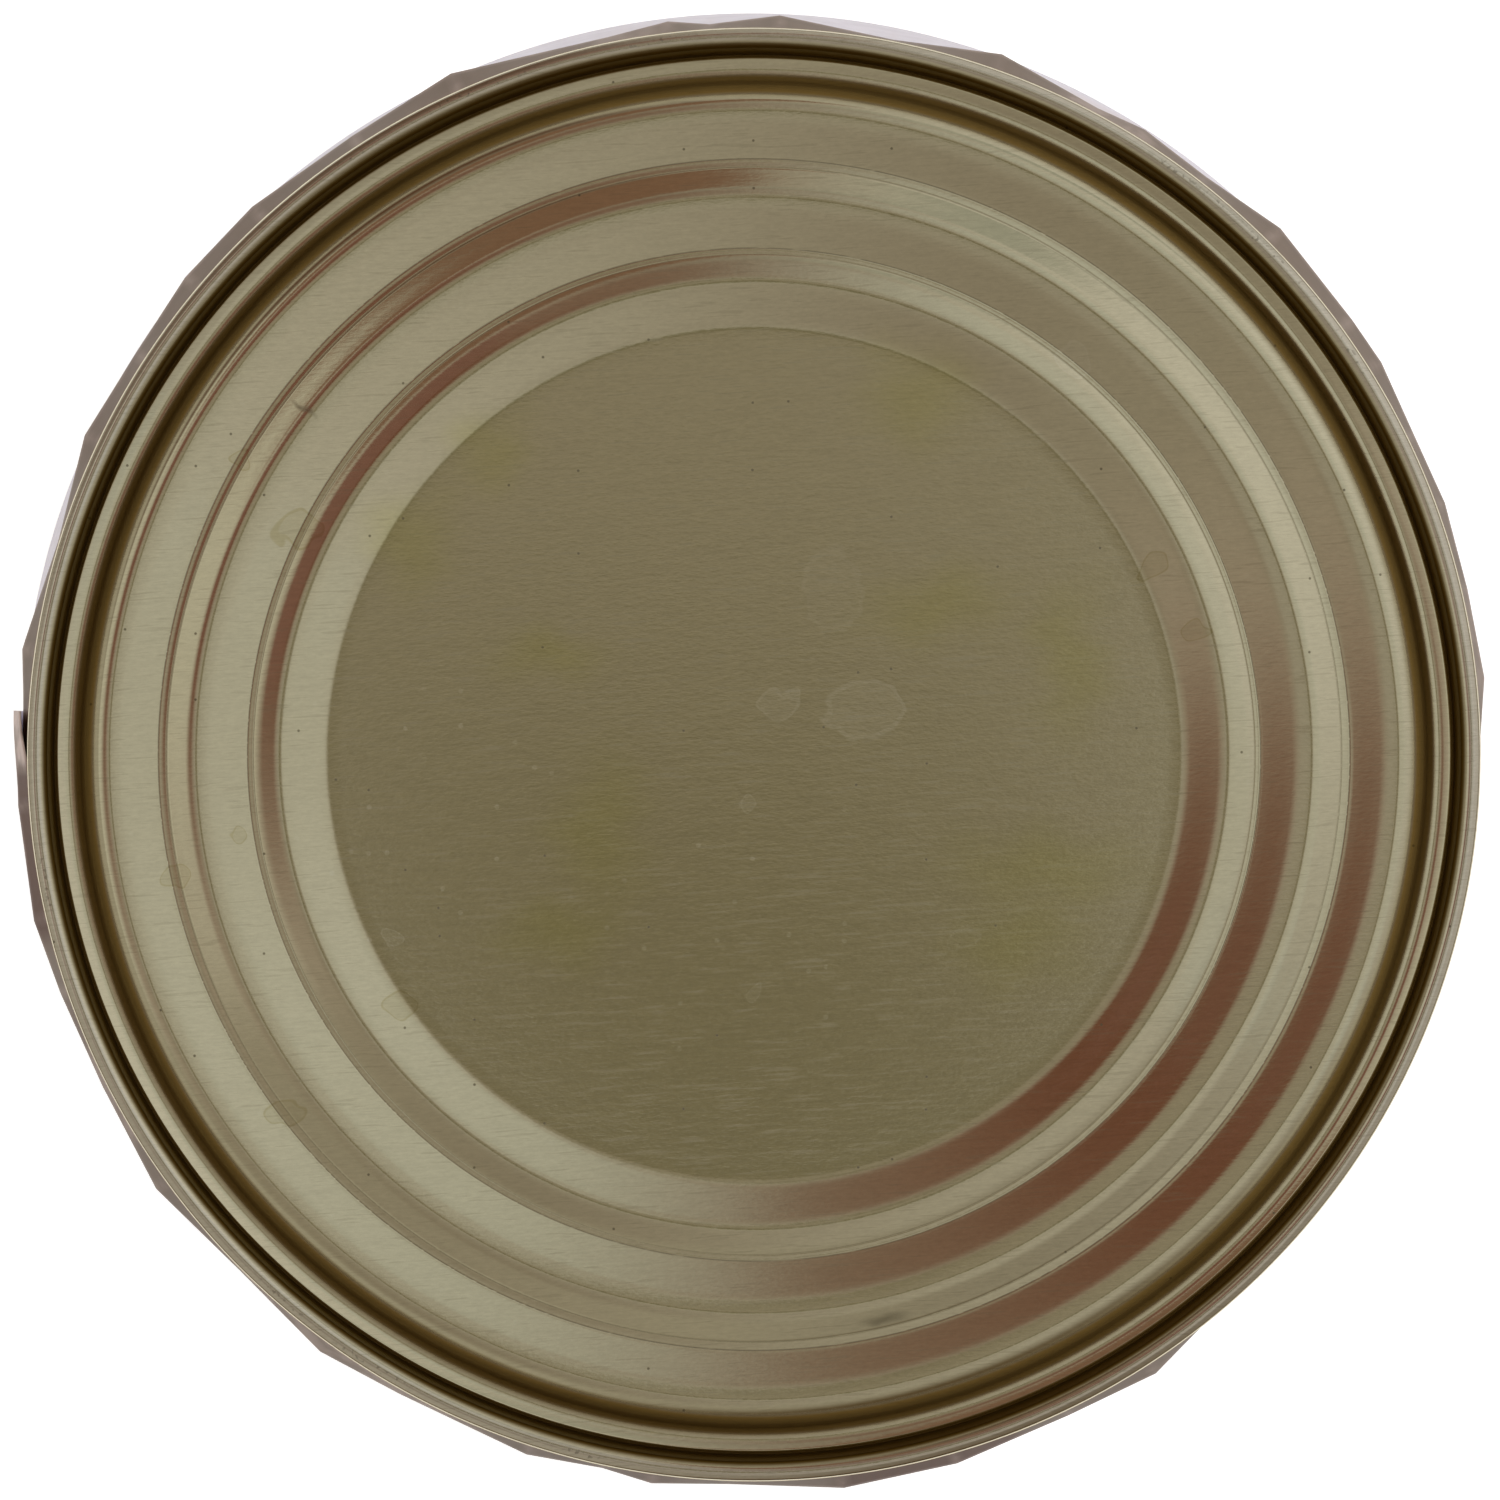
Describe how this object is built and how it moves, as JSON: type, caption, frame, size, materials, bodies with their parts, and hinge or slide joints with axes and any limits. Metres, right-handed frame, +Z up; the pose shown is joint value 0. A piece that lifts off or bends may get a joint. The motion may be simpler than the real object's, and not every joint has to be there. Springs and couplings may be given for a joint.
{
  "type": "food can with a paper label",
  "caption": "Shut tinplate food can with beaded, double-seamed ends and a loose, creased paper label around its body.",
  "frame": {"origin": "centre of the lower rim's plane, where the can stands", "axes": "+Z up along the can's axis to the shown end; +X to the right of the shown end, away from the label's lap"},
  "size_m": [0.1015, 0.1017, 0.118],
  "materials": {
    "tinplate": "rolled tinplate under clear lacquer, fine straight grain",
    "label_paper": "coated paper, creased, plain colour fields"
  },
  "bodies": {
    "root": {"upper_end": "tinplate", "can_body": "tinplate", "lower_end": "tinplate", "paper_label": "label_paper"}
  },
  "joints": []
}
